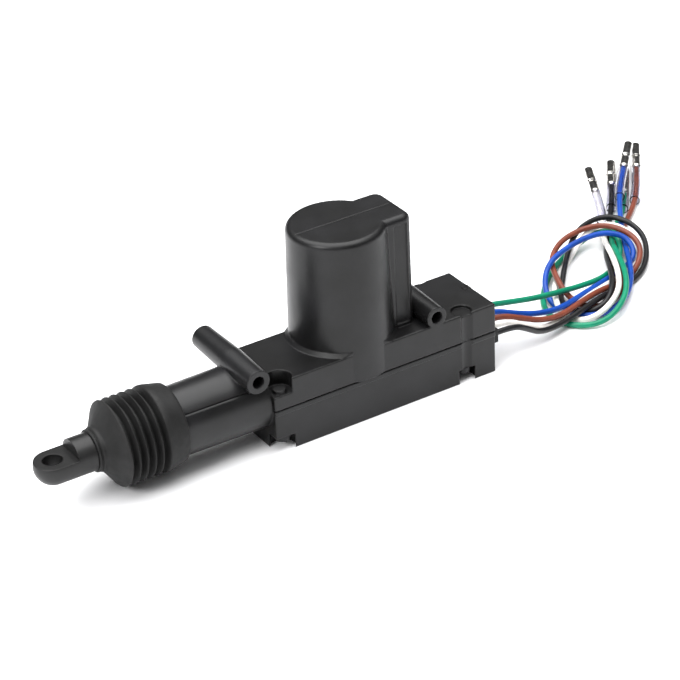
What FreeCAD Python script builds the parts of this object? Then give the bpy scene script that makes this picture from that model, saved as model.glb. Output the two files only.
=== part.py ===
import FreeCAD, Part
import Sketcher
import math
import os
from FreeCAD import Rotation, Vector

# Door latch actuator: a geared motor pushes and pulls a rod through a booted guide tube.
# Datum while modelling: x = 0 at the front mounting hole, y = 0 on the rod's mid-plane,
# z = 0 under the lower cover. Every sub-part's Placement then moves that datum, so that
# the origin lies at the middle of the underside of the whole object, cords left out.

doc = FreeCAD.newDocument("door_latch_actuator")
sheet = doc.addObject("Spreadsheet::Sheet", "Sizes")

# Driving dimensions in millimetres, one cell each
DRIVING = {
    # mounting bosses
    "hole_spacing": 66.0, "hole_radius": 2.05, "hole_rise": 2.7, "front_boss_radius": 3.95,
    "rear_boss_radius": 3.6, "boss_swell": 0.45, "boss_overhang": 8.3, "boss_web": 1.8,
    # housing
    "body_width": 26.2, "body_front": 5.2, "body_rear": 88.7, "split_height": 15.0,
    "wheel_room": 0.7, "wall": 2.0, "cover_inset": 0.3, "cover_rim": 1.6, "edge_round": 0.5,
    # motor tower
    "tower_x": 40.0, "tower_y": 2.9, "tower_radius": 17.0, "tower_draft": 1.1,
    "tower_rim": 2.0, "tower_foot": 1.2, "lobe_rear": 62.2,
    "lobe_half": 10.1, "lobe_corner": 3.4, "panel_front": 54.8, "panel_margin": 2.6,
    "panel_depth": 0.5, "seam": 0.3, "shadow_line": 0.5,
    # guide tube
    "tube_radius": 11.5, "tube_root_radius": 11.85, "tube_front": -29.6, "tube_end_wall": 3.0,
    "tube_split": 23.1,
    # rod with its eye and its rack
    "rod_height": 16.5, "rod_radius": 6.17, "stroke": 19.0, "eye_x": -64.9,
    "eye_hole_radius": 3.15, "tongue_root": -58.5, "tongue_above": 1.8,
    "rod_groove_x": -52.4, "rod_groove_width": 2.4, "rod_groove_depth": 0.8,
    "bar_bottom": 12.9, "bar_top": 18.6, "bar_back": 10.1, "core_side": 4.0,
    "foot_side": 6.0, "foot_length": 5.4, "rack_spare": 2.6,
    # clearances
    "running_gap": 0.06, "seat_gap": 0.1, "free_gap": 0.3,
    # screws and their pockets
    "screw_front_x": 8.8, "screw_rear_x": 77.4, "screw_side": 10.0, "column_radius": 2.7,
    "front_pocket_radius": 4.2, "front_pocket_depth": 5.2, "pocket_wall": 1.0,
    "rear_pocket_radius": 3.4, "rear_pocket_depth": 1.0, "stub_radius": 2.2, "stub_height": 1.2,
    "groove_radius": 3.7, "groove_depth": 0.8, "head_pocket_radius": 4.1, "head_pocket": 5.0,
    "screw_radius": 1.3, "screw_head_radius": 2.5, "screw_head": 1.9, "screw_length": 13.0,
    "slot_depth": 0.8,
    # motor
    "can_radius": 13.85, "can_length": 33.0, "can_wall": 0.8, "can_sink": 0.4, "can_lip": 12.4,
    "end_cap": 2.0, "cap_spigot": 1.0, "shaft_radius": 1.0, "bearing_radius": 2.4,
    "bearing_length": 3.4, "hub_radius": 3.2, "hub_drop": 1.4, "magnet_rise": 1.5,
    "magnet_thickness": 1.9, "air_gap": 0.45, "core_short": 15.0,
    "winding_end": 2.0, "pole_width": 3.6, "pole_shoe": 1.8, "winding_width": 3.7,
    "commutator_radius": 3.4, "commutator_length": 4.6, "brush_width": 2.2, "brush_length": 5.0,
    "tab_width": 2.4, "tab_height": 1.6, "tab_x": 49.0,
    # gear train
    "motor_module": 0.5, "pinion_teeth": 12, "wheel_teeth": 32, "rack_module": 1.0,
    "drive_teeth": 10, "short_tip": 0.68, "root_depth": 1.0, "backlash": 0.16,
    "wheel_thickness": 3.2, "pinion_thickness": 3.6, "pin_radius": 1.25,
    "pin_boss_radius": 2.6, "drive_bottom": 12.5,
    # stops and switch
    "stop_rib": 1.8, "bumper": 2.8, "bumper_half": 9.8, "bumper_low": 7.0, "bumper_high": 18.0,
    "rear_stop_near": -7.6, "rear_stop_far": -5.0, "rear_stop_low": 10.6, "board_top": 10.0,
    "board_thickness": 1.6, "board_front": 36.0, "board_rear": 71.5, "board_inner": 3.2,
    "board_outer": 8.9, "track_y": -5.2, "track_pitch": 1.4, "track_width": 0.9,
    "track_thickness": 0.1, "wiper_x": 62.0, "wiper_length": 6.0, "wiper_leaf": 0.3,
    # wire exit
    "comb_bottom": 10.0, "comb_middle": -1.9, "comb_half": 10.1, "comb_lip": 2.0,
    "comb_depth": 4.0, "wire_pitch": 4.2, "wire_radius": 1.0, "wire_height": 12.5,
    "wire_straight": 7.3, "lead_radius": 0.5, "lead_sink": 2.4, "lead_turn_x": 81.6,
    "lead_bend": 1.2,
    # bullet terminals and their sleeves
    "crimp_radius": 1.45, "crimp_length": 1.2, "barrel_length": 8.0, "neck_radius": 1.2,
    "neck_length": 1.2, "bullet_radius": 1.9, "terminal_length": 20.5, "terminal_bevel": 0.5,
    "sleeve_radius": 1.9, "sleeve_wall": 0.4, "sleeve_cover": 0.8, "sleeve_black": 16.0,
    "sleeve_white": 20.0, "sleeve_brown": 25.0, "sleeve_blue": 21.0, "sleeve_green": 11.0,
    # small marks of the mould
    "nub": 2.4, "nub_height": 0.4, "nub_y": 1.0,
    # boot
    "boot_front": -52.3, "boot_bead": 6.9, "boot_throat": 6.5, "boot_bell_x": -45.0,
    "boot_bell_radius": 14.0, "boot_collar_front": -31.7, "boot_collar_rear": -24.4,
    "boot_collar_radius": 14.1, "boot_collar_end": 12.9, "boot_ridges": 5, "boot_wall": 1.1,
    "boot_groove_radius": 10.6,
}


class Size:
    """A length from the sheet: its value now, and the expression that keeps it true."""

    def __init__(self, value, text):
        self.value = float(value)
        self.text = text

    def join(self, other, sign, value):
        other_text = other.text if isinstance(other, Size) else repr(other)
        return Size(value, f"({self.text} {sign} {other_text})")

    def __add__(self, other):
        return self.join(other, "+", self.value + number(other))

    def __sub__(self, other):
        return self.join(other, "-", self.value - number(other))

    def __mul__(self, other):
        return self.join(other, "*", self.value * number(other))

    def __truediv__(self, other):
        return self.join(other, "/", self.value / number(other))

    def __neg__(self):
        return Size(-self.value, f"(0 - {self.text})")

    def __radd__(self, other):
        return Size(other, repr(other)) + self

    def __rsub__(self, other):
        return Size(other, repr(other)) - self

    def __rmul__(self, other):
        return Size(other, repr(other)) * self


def number(length):
    """The plain value of a size or a number."""
    return length.value if isinstance(length, Size) else float(length)


def third_side(long_side, short_side):
    """The other short side of a right-angled triangle."""
    value = math.sqrt(long_side.value ** 2 - short_side.value ** 2)
    return Size(value, f"sqrt({long_side.text} ^ 2 - {short_side.text} ^ 2)")


class Names:
    """The sheet's sizes by name."""


S = Names()
for row, (alias, value) in enumerate(DRIVING.items(), start=1):
    sheet.set(f"A{row}", alias)
    sheet.set(f"B{row}", str(value))
    sheet.setAlias(f"B{row}", alias)
    setattr(S, alias, Size(value, f"Sizes.{alias}"))
doc.recompute()

# Places worked out from the sheet
half_width = S.body_width / 2
cover_half = half_width - S.cover_inset
far_boss_end = half_width + S.boss_overhang
comb_rear = S.body_rear + S.comb_lip
comb_inner = comb_rear - S.comb_lip - S.comb_depth
origin_x = -((comb_rear + S.eye_x - S.rod_radius) / 2)
origin_y = -((far_boss_end + S.tower_y - S.tower_radius) / 2)
inner_half = half_width - S.wall
cover_inner_half = cover_half - S.wall
inner_front = S.body_front + S.wall
inner_rear = S.body_rear - S.wall
wheel_bottom = S.bar_top + 3 * S.free_gap
inner_top = wheel_bottom + S.wheel_thickness + S.wheel_room
top_height = inner_top + S.wall
hole_height = top_height + S.hole_rise
can_seat = top_height - S.can_sink
can_top = can_seat + S.can_length
cap_top = can_top + S.end_cap
tower_inner_top = cap_top + S.tab_height + 2 * S.free_gap
tower_top = tower_inner_top + S.wall
tower_top_radius = S.tower_radius - S.tower_draft
guide_radius = S.rod_radius + S.running_gap
rod_clear = S.rod_radius + S.free_gap
tube_bore = S.tube_radius - S.wall
tube_slope = (S.tube_root_radius - S.tube_radius) / (S.body_front - S.tube_front)
fit_gap = S.running_gap / 2
can_bore = S.can_radius - S.can_wall
magnet_low = can_seat + S.can_wall + S.magnet_rise
magnet_inner = can_bore - fit_gap - S.magnet_thickness
core_radius = magnet_inner - S.air_gap
core_low = magnet_low + S.winding_end
core_high = core_low + S.can_length - S.core_short
magnet_high = core_high + S.winding_end
commutator_low = core_high + S.winding_end + S.free_gap
motor_centres = S.motor_module * (S.pinion_teeth + S.wheel_teeth) / 2
wheel_x = S.tower_x + third_side(motor_centres, S.tower_y)
pinion_tip = S.motor_module * (S.pinion_teeth / 2 + S.short_tip)
drive_pitch = S.rack_module * S.drive_teeth / 2
stop_rib_x = S.screw_front_x + S.column_radius + S.free_gap
front_bumper_x = stop_rib_x + S.stop_rib
foot_x = front_bumper_x + S.bumper + S.free_gap + S.stroke
round_end = S.tower_x - pinion_tip - 2 * S.free_gap
bar_end = wheel_x + S.stroke + S.rack_spare
rear_bumper_x = bar_end + S.free_gap
rear_rib_x = rear_bumper_x + S.bumper
board_bottom = S.board_top - S.board_thickness
screw_tip = S.head_pocket + S.screw_length
pocket_floor = top_height - S.front_pocket_depth
pin_foot = S.wall + S.wall / 2
sides = (-1, 1)
screw_places = [(x, side * S.screw_side) for x in (S.screw_front_x, S.screw_rear_x) for side in sides]
wire_names = ("black", "white", "brown", "blue", "green")
wire_sides = {name: S.comb_middle + (i - 2) * S.wire_pitch for i, name in enumerate(wire_names)}

parts = {}


def bind(item, path, length):
    """Tie one property of a feature to a size, so that the sheet drives it."""
    if isinstance(length, Size):
        item.setExpression(path, length.text)


spots = {}


def place(item, x, y, z, rotation=Rotation()):
    """Put a feature at a point, each coordinate tied to the sheet."""
    item.Placement = FreeCAD.Placement(Vector(number(x), number(y), number(z)), rotation)
    bind(item, "Placement.Base.x", x)
    bind(item, "Placement.Base.y", y)
    bind(item, "Placement.Base.z", z)
    spots[item.Name] = (x, y, z)
    return item


def keep(item, name):
    """Name a finished sub-part and move it from the modelling datum to the object's origin."""
    item.Label = name
    x, y, z = spots.get(item.Name, (0.0, 0.0, 0.0))
    place(item, x + origin_x, y + origin_y, z, item.Placement.Rotation)
    parts[name] = item


# Solids of one feature each: block, drum and cone, and what joins or cuts them
def block(x, y, z):
    """A box between two places along each axis."""
    item = doc.addObject("Part::Box", "block")
    for path, (low, high) in (("Length", x), ("Width", y), ("Height", z)):
        span = high - low
        setattr(item, path, number(span))
        bind(item, path, span)
    return place(item, x[0], y[0], z[0])


TURNS = {
    "X": Rotation(Vector(0, 1, 0), 90),
    "Y": Rotation(Vector(1, 0, 0), -90),
    "Z": Rotation(),
}


def drum(along, start, length, radius):
    """A cylinder that starts at a point and runs along one axis."""
    item = doc.addObject("Part::Cylinder", "drum")
    for path, size in (("Radius", radius), ("Height", length)):
        setattr(item, path, number(size))
        bind(item, path, size)
    return place(item, *start, TURNS[along])


def cone(along, start, length, first_radius, last_radius):
    item = doc.addObject("Part::Cone", "cone")
    for path, size in (("Radius1", first_radius), ("Radius2", last_radius), ("Height", length)):
        setattr(item, path, number(size))
        bind(item, path, size)
    return place(item, *start, TURNS[along])


def ball(centre, radius):
    item = doc.addObject("Part::Sphere", "ball")
    item.Radius = number(radius)
    bind(item, "Radius", radius)
    return place(item, *centre)


def fuse(*items):
    if len(items) == 1:
        return items[0]
    item = doc.addObject("Part::MultiFuse", "fuse")
    item.Shapes = list(items)
    item.Refine = True
    return item


def cut(base, *tools):
    item = doc.addObject("Part::Cut", "cut")
    item.Base = base
    item.Tool = fuse(*tools)
    item.Refine = True
    return item


def common(first, second):
    item = doc.addObject("Part::Common", "common")
    item.Base = first
    item.Tool = second
    return item


def rounded(base, radius, chosen):
    """The base with the edges that the test picks rounded."""
    doc.recompute()
    item = doc.addObject("Part::Fillet", "rounded")
    item.Base = base
    item.Edges = [(i, number(radius), number(radius))
                  for i, edge in enumerate(base.Shape.Edges, start=1) if chosen(edge.BoundBox)]
    return item


def group(items):
    """Identical pieces as one sub-part of separate solids."""
    item = doc.addObject("Part::Compound", "group")
    item.Links = list(items)
    return item


def near(a, b, reach=0.02):
    return abs(a - number(b)) < reach


# Turned and moulded pieces: a body with one sketch, revolved or padded
def sketch_on(body, plane, offset):
    """A sketch on one of the body's own origin planes, moved by an offset in the plane's axes."""
    sketch = body.newObject("Sketcher::SketchObject", "outline")
    support = [item for item in body.Origin.OriginFeatures if item.Role == plane][0]
    sketch.AttachmentSupport = [(support, "")]
    sketch.MapMode = "FlatFace"
    sketch.AttachmentOffset = FreeCAD.Placement(Vector(*map(number, offset)), Rotation())
    for axis, length in zip("xyz", offset):
        bind(sketch, f"AttachmentOffset.Base.{axis}", length)
    return sketch


def polygon(sketch, corners):
    """A closed outline through corners that are each held by two dimensions."""
    points = [Vector(number(u), number(v), 0) for u, v in corners]
    count = len(points)
    for i in range(count):
        sketch.addGeometry(Part.LineSegment(points[i], points[(i + 1) % count]), False)
    for i in range(count):
        sketch.addConstraint(Sketcher.Constraint("Coincident", i, 2, (i + 1) % count, 1))
    for i, corner in enumerate(corners):
        for kind, length in zip(("DistanceX", "DistanceY"), corner):
            index = sketch.addConstraint(Sketcher.Constraint(kind, -1, 1, i, 1, number(length)))
            bind(sketch, f"Constraints[{index}]", length)


def turned(along, centre, corners):
    """A body of revolution: about X through (y, z) with corners (x, radius), or about Z
    through (x, y) with corners (radius, z)."""
    body = doc.addObject("PartDesign::Body", "turned")
    if along == "X":
        sketch = sketch_on(body, "XZ_Plane", (0.0, centre[1], -1 * centre[0]))
        axis = "H_Axis"
    else:
        sketch = sketch_on(body, "XZ_Plane", (centre[0], 0.0, -1 * centre[1]))
        axis = "V_Axis"
    polygon(sketch, corners)
    revolution = body.newObject("PartDesign::Revolution", "revolution")
    revolution.Profile = sketch
    revolution.ReferenceAxis = (sketch, [axis])
    revolution.Angle = 360
    body.Tip = revolution
    return body


def moulded_across(y_low, y_high, corners):
    """A body with one outline in x and z, padded along Y."""
    body = doc.addObject("PartDesign::Body", "moulded")
    sketch = sketch_on(body, "XZ_Plane", (0.0, 0.0, -1 * y_high))
    polygon(sketch, corners)
    pad = body.newObject("PartDesign::Pad", "pad")
    pad.Profile = sketch
    pad.Length = number(y_high - y_low)
    bind(pad, "Length", y_high - y_low)
    body.Tip = pad
    return body


# Upper housing: the shell with the motor tower, the two mounting bosses, and the strip
# of the guide tube above the parting line
def lobe(inset, bottom, top):
    """The square rear part of the tower, drawn in by an inset."""
    rear = S.lobe_rear - inset
    half = S.lobe_half - inset
    box = block((S.tower_x, rear), (S.tower_y - half, S.tower_y + half), (bottom, top))
    return rounded(box, S.lobe_corner - inset / 2,
                   lambda b: near(b.XMin, rear) and near(b.XMax, rear) and b.ZLength > b.YLength)


def mounting_boss(x, radius):
    """A cross boss that is thickest at the parting plane of the mould."""
    middle = S.tower_y
    near_half = cone("Y", (x, -half_width, hole_height), middle + half_width, radius, radius + S.boss_swell)
    far_half = cone("Y", (x, middle, hole_height), far_boss_end - middle, radius + S.boss_swell, radius)
    return fuse(near_half, far_half)


def guide_tube(z_low, z_high, inset):
    """The part of the guide tube between two heights, still solid, drawn in by an inset."""
    tube = cone("X", (S.tube_front, 0.0, S.rod_height), S.body_front - S.tube_front,
                S.tube_radius - inset, S.tube_root_radius - inset)
    side = S.tube_root_radius + S.wall
    return common(tube, block((S.tube_front, S.body_front), (-side, side), (z_low, z_high)))


def tube_hollow():
    return drum("X", (S.tube_front + S.tube_end_wall, 0.0, S.rod_height),
                S.body_front - S.tube_front - S.tube_end_wall, tube_bore)


def side_groove(side, low, high):
    """The shallow upright groove in a long wall beside each rear screw."""
    centre = side * (half_width + S.groove_radius - S.groove_depth)
    return drum("Z", (S.screw_rear_x, centre, low), high - low, S.groove_radius)


def housing_shell():
    top = top_height
    box = block((S.body_front, S.body_rear), (-half_width, half_width), (S.split_height, top))
    box = rounded(box, S.edge_round,
                  lambda b: near(b.ZMin, top) or (near(b.XLength, 0) and near(b.YLength, 0)))
    foot = drum("Z", (S.tower_x, S.tower_y, S.split_height), top - S.split_height, S.tower_radius)
    tower = cone("Z", (S.tower_x, S.tower_y, top), tower_top - top, S.tower_radius, tower_top_radius)
    crown = rounded(fuse(tower, lobe(0.0, top, tower_top)), S.tower_rim,
                    lambda b: near(b.ZMin, tower_top) and near(b.ZMax, tower_top))
    skirt = cone("Z", (S.tower_x, S.tower_y, top), S.tower_foot,
                 S.tower_radius + S.tower_foot, S.tower_radius)
    reach = S.tower_radius + S.wall
    skirt = common(skirt, block((S.tower_x - reach, S.tower_x + reach), (-half_width, half_width),
                                (top, top + S.tower_foot)))
    return fuse(box, foot, crown, skirt)


def housing_hollows():
    floor = S.split_height - S.wall
    works = block((inner_front, inner_rear), (-inner_half, inner_half), (floor, inner_top))
    under_tower = drum("Z", (S.tower_x, S.tower_y, floor), inner_top - floor, S.tower_radius - S.wall)
    bore = drum("Z", (S.tower_x, S.tower_y, can_seat), tower_inner_top - can_seat,
                S.can_radius + S.free_gap)
    mouth = drum("Z", (S.tower_x, S.tower_y, floor), can_seat - floor + S.wall, S.can_lip)
    lead_well = lobe(S.wall, inner_top - S.seat_gap, tower_inner_top)
    guide = drum("X", (S.tube_front - S.wall, 0.0, S.rod_height),
                 inner_front - S.tube_front + 2 * S.wall, guide_radius)
    return [works, under_tower, bore, mouth, lead_well, tube_hollow(), guide]


def pocket_can(x, y, low, high, radius):
    """A screw pocket's wall inside the housing, kept clear of the rod."""
    can = drum("Z", (x, y, low), high - low, radius + S.pocket_wall)
    rod_way = drum("X", (S.body_front - S.wall, 0.0, S.rod_height), S.body_rear - S.body_front, rod_clear)
    inside = block((S.body_front, S.body_rear), (-half_width, half_width), (low, high))
    return cut(common(can, inside), rod_way)


def parting_groove():
    """The shadow line round the upper housing's foot, just above the cover."""
    height = (S.split_height, S.split_height + S.shadow_line)
    reach = S.tower_radius + S.wall
    outside = block((S.body_front - S.wall, S.body_rear + S.wall), (-reach, S.tower_y + reach), height)
    inside = block((S.body_front + S.shadow_line, S.body_rear - S.shadow_line),
                   (-half_width + S.shadow_line, half_width - S.shadow_line), height)
    foot = drum("Z", (S.tower_x, S.tower_y, S.split_height), S.shadow_line, S.tower_radius - S.shadow_line)
    tube = block((S.body_front - S.wall, inner_front), (-S.tube_root_radius, S.tube_root_radius), height)
    return cut(outside, fuse(inside, foot, tube))


def tower_marks():
    """The mould's line over the tower's top, and the sunk panel in the lobe's near face."""
    seam = block((S.tower_x - S.tower_radius, S.lobe_rear), (S.tower_y - S.seam / 2, S.tower_y + S.seam / 2),
                 (tower_top - S.seam, tower_top + S.wall))
    face = S.tower_y - S.lobe_half
    panel = block((S.panel_front, S.lobe_rear - S.panel_margin), (face - S.wall, face + S.panel_depth),
                  (top_height + S.tower_foot, tower_top - S.panel_margin))
    return [seam, panel]


def upper_housing():
    web_half = S.tube_root_radius - S.wall
    web = block((-S.boss_web, S.boss_web), (-web_half, web_half), (S.tube_split, hole_height))
    strip = guide_tube(S.tube_split, S.rod_height + S.tube_root_radius + S.wall, S.shadow_line)
    shell = fuse(housing_shell(), strip, web)
    shell = cut(shell, *housing_hollows())

    bosses = [mounting_boss(0.0, S.front_boss_radius), mounting_boss(S.hole_spacing, S.rear_boss_radius)]
    columns = [drum("Z", (x, y, S.split_height), inner_top - S.split_height + S.wall / 4, S.column_radius)
               for x, y in screw_places]
    near_y = -S.screw_side
    can = pocket_can(S.screw_front_x, near_y, pocket_floor - S.pocket_wall, inner_top + S.wall / 4,
                     S.front_pocket_radius)
    rear_rib = block((rear_rib_x, rear_rib_x + S.stop_rib), (S.rear_stop_near, S.rear_stop_far),
                     (S.split_height + S.seat_gap, inner_top + S.wall / 4))
    nub_x = S.body_rear - S.edge_round
    nub_top = top_height + S.nub_height
    nub = block((nub_x - S.nub, nub_x), (S.nub_y - S.nub / 2, S.nub_y + S.nub / 2), (inner_top, nub_top))
    shell = fuse(shell, *bosses, *columns, can, rear_rib, nub)

    slit = (nub_x - S.nub / 2 - S.slot_depth / 2, nub_x - S.nub / 2 + S.slot_depth / 2)
    front_pocket = drum("Z", (S.screw_front_x, near_y, pocket_floor), S.front_pocket_depth + S.wall,
                        S.front_pocket_radius)
    corner = block((S.front_boss_radius + S.boss_swell, S.screw_front_x), (-half_width - S.wall, near_y),
                   (pocket_floor, top_height + S.wall))
    stub = drum("Z", (S.screw_front_x, near_y, pocket_floor), S.stub_height, S.stub_radius)
    pockets = [
        block(slit, (S.nub_y - S.nub, S.nub_y + S.nub), (top_height, nub_top + S.wall)),
        cut(fuse(front_pocket, corner), stub, mounting_boss(0.0, S.front_boss_radius)),
        drum("Z", (S.screw_rear_x, near_y, top_height - S.rear_pocket_depth),
             S.rear_pocket_depth + S.wall, S.rear_pocket_radius),
        parting_groove(),
    ]
    pockets += tower_marks()
    for side in sides:
        pockets.append(side_groove(side, S.split_height, top_height))
    holes = []
    for x in (0.0, S.hole_spacing):
        holes.append(drum("Y", (x, -half_width - S.wall, hole_height),
                          far_boss_end + half_width + 2 * S.wall, S.hole_radius))
    for x, y in screw_places:
        holes.append(drum("Z", (x, y, S.split_height - S.wall),
                          screw_tip - S.split_height + S.wall + S.free_gap, S.screw_radius + S.seat_gap))
    keep(cut(shell, *pockets, *holes), "upper_housing")


# Lower cover: the tray under the works, with the lower part of the guide tube
def lower_cover():
    tray = block((S.body_front, S.body_rear), (-cover_half, cover_half), (0.0, S.split_height))
    tray = rounded(tray, S.edge_round, lambda b: near(b.XLength, 0) and near(b.YLength, 0))
    rim_low = S.split_height - S.cover_rim
    rim = block((S.body_front, S.body_rear), (-half_width, half_width), (rim_low, S.split_height))
    rim = rounded(rim, S.edge_round, lambda b: near(b.XLength, 0) and near(b.YLength, 0))
    reach = S.tower_radius + S.wall
    under_tower = common(drum("Z", (S.tower_x, S.tower_y, rim_low), S.cover_rim, S.tower_radius),
                         block((S.tower_x - reach, S.tower_x + reach), (inner_half, inner_half + reach),
                               (rim_low, S.split_height)))
    inside = block((inner_front, inner_rear), (-cover_inner_half, cover_inner_half),
                   (S.wall, S.split_height + S.wall))
    boss_way = drum("Y", (0.0, -half_width, hole_height), far_boss_end + half_width,
                    S.front_boss_radius + S.boss_swell + S.seat_gap)
    tube = guide_tube(S.rod_height - S.tube_root_radius - S.wall, S.tube_split, 0.0)
    cover = cut(fuse(tray, rim, under_tower, tube), inside, tube_hollow(), boss_way)

    columns = [drum("Z", (x, y, S.wall / 2), S.split_height - S.wall / 2, S.column_radius)
               for x, y in screw_places]
    cans = [pocket_can(x, y, S.wall / 2, S.head_pocket + S.wall, S.head_pocket_radius)
            for x, y in screw_places]
    tray_room = block((S.body_front, S.body_rear), (-cover_half, cover_half), (S.wall / 2, S.split_height))
    columns = common(fuse(*columns, *cans), tray_room)
    ledge_inner = -S.board_outer - S.seat_gap
    rib = block((stop_rib_x, front_bumper_x), (-cover_inner_half, cover_inner_half), (S.wall, S.split_height))
    ledge = block((stop_rib_x, S.screw_rear_x), (-cover_inner_half, ledge_inner),
                  (S.wall, S.bar_bottom - S.seat_gap))
    posts = [block((x, x + S.wall), (ledge_inner, -S.board_inner), (S.wall, board_bottom))
             for x in (S.board_front + S.wall, S.board_rear - 2 * S.wall)]
    pin_boss = drum("Z", (wheel_x, 0.0, S.wall), S.drive_bottom - S.wall - 2 * S.seat_gap, S.pin_boss_radius)
    cover = fuse(cover, columns, rib, ledge, pin_boss, *posts)

    cuts = [
        drum("X", (S.tube_front - S.wall, 0.0, S.rod_height), inner_front - S.tube_front + S.wall,
             guide_radius),
        drum("X", (inner_front, 0.0, S.rod_height), front_bumper_x - inner_front, rod_clear),
        block((comb_inner, comb_rear), comb_sides(S.seat_gap),
              (S.comb_bottom - S.seat_gap, S.split_height + S.wall)),
        drum("Z", (wheel_x, 0.0, pin_foot), S.drive_bottom, S.pin_radius + fit_gap),
    ]
    for x, y in screw_places:
        cuts.append(drum("Z", (x, y, -S.wall), S.head_pocket + S.wall, S.head_pocket_radius))
        cuts.append(drum("Z", (x, y, 0.0), S.split_height + S.wall, S.screw_radius + S.seat_gap))
    for side in sides:
        cuts.append(side_groove(side, 0.0, S.split_height))
    for corner in ((-half_width - S.wall, -S.screw_side), (S.screw_side, half_width + S.wall)):
        cuts.append(block((S.body_front - S.wall, S.screw_front_x), corner, (-S.wall, S.head_pocket)))
    keep(cut(cover, *cuts), "lower_cover")


def housing_screws():
    """Four self-tapping screws with slotted pan heads, driven up from the corner pockets."""
    screws = []
    for x, y in screw_places:
        head_low = S.head_pocket - S.screw_head
        shank = drum("Z", (x, y, S.head_pocket), S.screw_length, S.screw_radius)
        head = drum("Z", (x, y, head_low), S.screw_head, S.screw_head_radius)
        slot = block((x - S.screw_head_radius, x + S.screw_head_radius),
                     (y - S.slot_depth / 2, y + S.slot_depth / 2), (head_low, head_low + S.slot_depth))
        screws.append(cut(fuse(shank, head), slot))
    keep(group(screws), "housing_screws")


# Wire comb: the block in the cover's rear wall that the five wires leave through
def comb_sides(gap):
    return S.comb_middle - S.comb_half - gap, S.comb_middle + S.comb_half + gap


def wire_comb():
    comb = block((comb_inner, comb_rear), comb_sides(0.0), (S.comb_bottom, S.split_height - S.seat_gap))
    comb = rounded(comb, S.edge_round, lambda b: near(b.XMin, comb_rear) and near(b.XMax, comb_rear))
    keep(comb, "wire_comb")


# Gears: involute outlines about the origin, one tooth centred at the angle turn
def gear_blank(teeth, module, turn, low, thickness):
    pitch = module * teeth / 2
    pressure = math.radians(20)
    base = pitch * math.cos(pressure)
    tip = pitch + module * S.short_tip.value
    root = pitch - module * S.root_depth.value
    half_tooth = math.pi / (2 * teeth) - S.backlash.value / (2 * pitch) + math.tan(pressure) - pressure
    start = max(base, root)
    steps = 4
    flank = []
    for step in range(steps + 1):
        radius = start + (tip - start) * step / steps
        roll = math.acos(min(1.0, base / radius))
        flank.append((radius, half_tooth - (math.tan(roll) - roll)))
    if root < base:
        flank.insert(0, (root, half_tooth))
    corners = []
    for i in range(teeth):
        middle = turn + 2 * math.pi * i / teeth
        for radius, angle in [(r, -a) for r, a in flank] + [(r, a) for r, a in reversed(flank)]:
            corners.append(Vector(radius * math.cos(middle + angle), radius * math.sin(middle + angle), low))
    face = Part.Face(Part.makePolygon(corners + corners[:1]))
    return face.extrude(Vector(0, 0, thickness))


def set_shape(name, shape, x=0.0, y=0.0):
    """A sub-part whose shape is worked out in code from the sheet's sizes, put at its axis."""
    item = doc.addObject("Part::Feature", name)
    item.Shape = shape
    keep(place(item, x, y, 0.0), name)


def cylinder(radius, low, high, x=0.0, y=0.0):
    return Part.makeCylinder(number(radius), number(high) - number(low), Vector(x, y, number(low)))


def box_between(x, y, z):
    low = Vector(number(x[0]), number(y[0]), number(z[0]))
    return Part.makeBox(number(x[1]) - low.x, number(y[1]) - low.y, number(z[1]) - low.z, low)


def gears():
    """The motor's pinion, and the wheel and drive pinion that are one moulding."""
    mesh = math.atan2(S.tower_y.value, S.tower_x.value - wheel_x.value)
    wheel_low = wheel_bottom.value
    pinion = gear_blank(int(S.pinion_teeth.value), S.motor_module.value, mesh + math.pi,
                        wheel_low, S.pinion_thickness.value)
    pinion = pinion.cut(cylinder(S.shaft_radius + fit_gap, wheel_bottom - S.wall, can_seat))
    set_shape("motor_pinion", pinion, S.tower_x, S.tower_y)

    teeth = int(S.wheel_teeth.value)
    wheel = gear_blank(teeth, S.motor_module.value, mesh + math.pi / teeth, wheel_low, S.wheel_thickness.value)
    drive = gear_blank(int(S.drive_teeth.value), S.rack_module.value, -math.pi / 2,
                       S.drive_bottom.value, wheel_low - S.drive_bottom.value)
    bore = cylinder(S.pin_radius + S.running_gap, S.drive_bottom - S.wall,
                    wheel_bottom + 2 * S.wheel_thickness)
    set_shape("reduction_gear", wheel.fuse(drive).cut(bore), wheel_x)
    keep(drum("Z", (wheel_x, 0.0, pin_foot), inner_top - S.seat_gap - pin_foot, S.pin_radius), "gear_pin")


# Rod: one moulding with the eye, the round plunger and the rack bar
def rack_comb():
    """The rack's teeth as one flat comb that points to +Y, a gap centred on the drive gear."""
    module = S.rack_module.value
    pitch = math.pi * module
    slope = math.tan(math.radians(20))
    tip_y = -drive_pitch.value + module * S.short_tip.value
    root_y = -drive_pitch.value - module * S.root_depth.value
    half_gap = pitch / 4 + S.backlash.value / 2
    outer = half_gap + (tip_y + drive_pitch.value) * slope
    inner = half_gap + (root_y + drive_pitch.value) * slope
    gaps = int((bar_end.value - wheel_x.value) / pitch)
    middles = [wheel_x.value + i * pitch for i in range(-1, gaps)]
    outline = [(middles[0] - pitch / 2, root_y - module / 2), (middles[0] - pitch / 2, tip_y)]
    for middle in middles:
        outline += [(middle - outer, tip_y), (middle - inner, root_y)]
        outline += [(middle + inner, root_y), (middle + outer, tip_y)]
    outline += [(middles[-1] + pitch / 2, tip_y), (middles[-1] + pitch / 2, root_y - module / 2)]
    corners = [Vector(x, y, S.bar_bottom.value) for x, y in outline]
    item = doc.addObject("Part::Feature", "rack_comb")
    item.Shape = Part.Face(Part.makePolygon(corners + corners[:1])).extrude(
        Vector(0, 0, S.bar_top.value - S.bar_bottom.value))
    return item


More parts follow.
